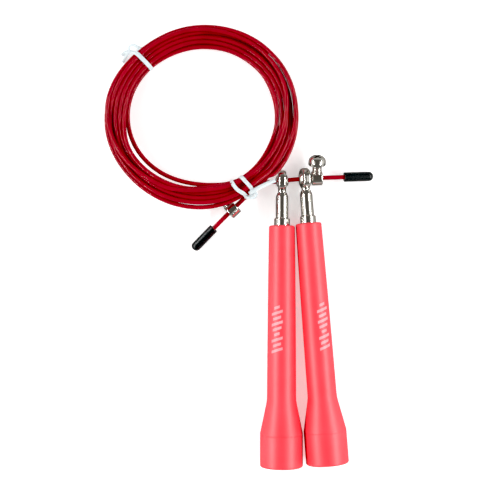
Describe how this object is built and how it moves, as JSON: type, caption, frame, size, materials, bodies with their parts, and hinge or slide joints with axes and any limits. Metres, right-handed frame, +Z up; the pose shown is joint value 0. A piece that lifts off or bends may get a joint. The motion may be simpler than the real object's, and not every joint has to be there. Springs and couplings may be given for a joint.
{
  "type": "jump rope",
  "caption": "speed jump rope with flared plastic handles on ball-bearing swivel eyes, and a coated steel cable tied in a coil with a clamp stop and cap at each end",
  "frame": {"origin": "on the floor, under the middle of the two handles' bounding box; the coil and the cable are not counted", "axes": "+Y runs along the handles from their flared ends to their eyes, +X runs across them from the left handle to the right one, +Z is up from the floor"},
  "size_m": [0.151, 0.2466, 0.0245],
  "materials": {
    "grip": "semi-gloss moulded plastic, coral red",
    "end_plug": "moulded plastic, red",
    "sleeve": "bright nickel plate on steel",
    "bearing_steel": "ground bearing steel",
    "cage_steel": "pressed strip steel",
    "plated_steel": "zinc plated",
    "nickel_eye": "bright nickel plate",
    "swivel_steel": "polished steel",
    "nickel_stop": "bright nickel plate",
    "cable_jacket": "glossy red PVC jacket on a steel strand",
    "cap_black": "soft black vinyl",
    "tie_white": "white plastic coated wire"
  },
  "bodies": {
    "rope": {"cable_coil": "cable_jacket", "cable_lead": "cable_jacket", "cable_tail": "cable_jacket", "lead_end_cap": "cap_black", "tail_end_cap": "cap_black", "upper_tie": "tie_white", "lower_tie": "tie_white"},
    "lead_stop": {"lead_stop_barrel": "nickel_stop"},
    "lead_screw": {"lead_stop_screw": "plated_steel"},
    "tail_stop": {"tail_stop_barrel": "nickel_stop"},
    "tail_screw": {"tail_stop_screw": "plated_steel"},
    "left_swivel": {"left_swivel_ball": "swivel_steel"},
    "left_eye": {"left_eye_spindle": "nickel_eye", "left_bearing_inner_races": "bearing_steel", "left_inner_spacer": "plated_steel", "left_washer": "plated_steel", "left_lock_nut": "plated_steel"},
    "left_handle": {"left_grip": "grip", "left_end_plug": "end_plug", "left_sleeve": "sleeve", "left_bearing_outer_races": "bearing_steel", "left_outer_spacer": "plated_steel"},
    "left_balls": {"left_bearing_balls": "bearing_steel", "left_bearing_cages": "cage_steel"},
    "right_swivel": {"right_swivel_ball": "swivel_steel"},
    "right_eye": {"right_eye_spindle": "nickel_eye", "right_bearing_inner_races": "bearing_steel", "right_inner_spacer": "plated_steel", "right_washer": "plated_steel", "right_lock_nut": "plated_steel"},
    "right_handle": {"right_grip": "grip", "right_end_plug": "end_plug", "right_sleeve": "sleeve", "right_bearing_outer_races": "bearing_steel", "right_outer_spacer": "plated_steel"},
    "right_balls": {"right_bearing_balls": "bearing_steel", "right_bearing_cages": "cage_steel"}
  },
  "joints": [
    {"name": "left_swing", "type": "hinge", "parent": "rope", "child": "left_swivel", "pos_m": [-0.0122, 0.07608, 0.00622], "axis": [-0.9909, -0.1335, -0.0197], "range_deg": [0, 70]},
    {"name": "left_sway", "type": "hinge", "parent": "left_swivel", "child": "left_eye", "pos_m": [-0.0122, 0.07608, 0.00622], "axis": [0, 0, 1], "range_deg": [-30, 0]},
    {"name": "left_spin", "type": "hinge", "parent": "left_eye", "child": "left_handle", "pos_m": [-0.0122, 0.07608, 0.00622], "axis": [0.0035, 0.9992, -0.0403], "continuous": true},
    {"name": "left_ball_roll", "type": "hinge", "parent": "left_eye", "child": "left_balls", "pos_m": [-0.0122, 0.07608, 0.00622], "axis": [0.0035, 0.9992, -0.0403], "continuous": true},
    {"name": "right_swing", "type": "hinge", "parent": "rope", "child": "right_swivel", "pos_m": [0.0006, 0.07741, 0.00622], "axis": [-0.9982, -0.0422, 0.0417], "range_deg": [0, 90]},
    {"name": "right_sway", "type": "hinge", "parent": "right_swivel", "child": "right_eye", "pos_m": [0.0006, 0.07741, 0.00622], "axis": [0, 0, 1], "range_deg": [0, 12]},
    {"name": "right_spin", "type": "hinge", "parent": "right_eye", "child": "right_handle", "pos_m": [0.0006, 0.07741, 0.00622], "axis": [-0.077, 0.9962, -0.0403], "continuous": true},
    {"name": "right_ball_roll", "type": "hinge", "parent": "right_eye", "child": "right_balls", "pos_m": [0.0006, 0.07741, 0.00622], "axis": [-0.077, 0.9962, -0.0403], "continuous": true},
    {"name": "lead_stop_slide", "type": "slide", "parent": "rope", "child": "lead_stop", "axis": [0.9982, 0.0422, -0.0417], "range_m": [0, 0.008]},
    {"name": "lead_screw_out", "type": "slide", "parent": "lead_stop", "child": "lead_screw", "axis": [-0.0157, 0.8661, 0.4996], "range_m": [0, 0.0015]},
    {"name": "tail_stop_slide", "type": "slide", "parent": "rope", "child": "tail_stop", "axis": [-0.717, -0.6971, 0], "range_m": [0, 0.006]},
    {"name": "tail_screw_out", "type": "slide", "parent": "tail_stop", "child": "tail_screw", "axis": [-0.6971, 0.717, 0], "range_m": [0, 0.0015]}
  ],
  "couplings": [
    {"joint": "left_ball_roll", "follows": "left_spin", "ratio": 0.5889},
    {"joint": "right_ball_roll", "follows": "right_spin", "ratio": 0.5889}
  ]
}
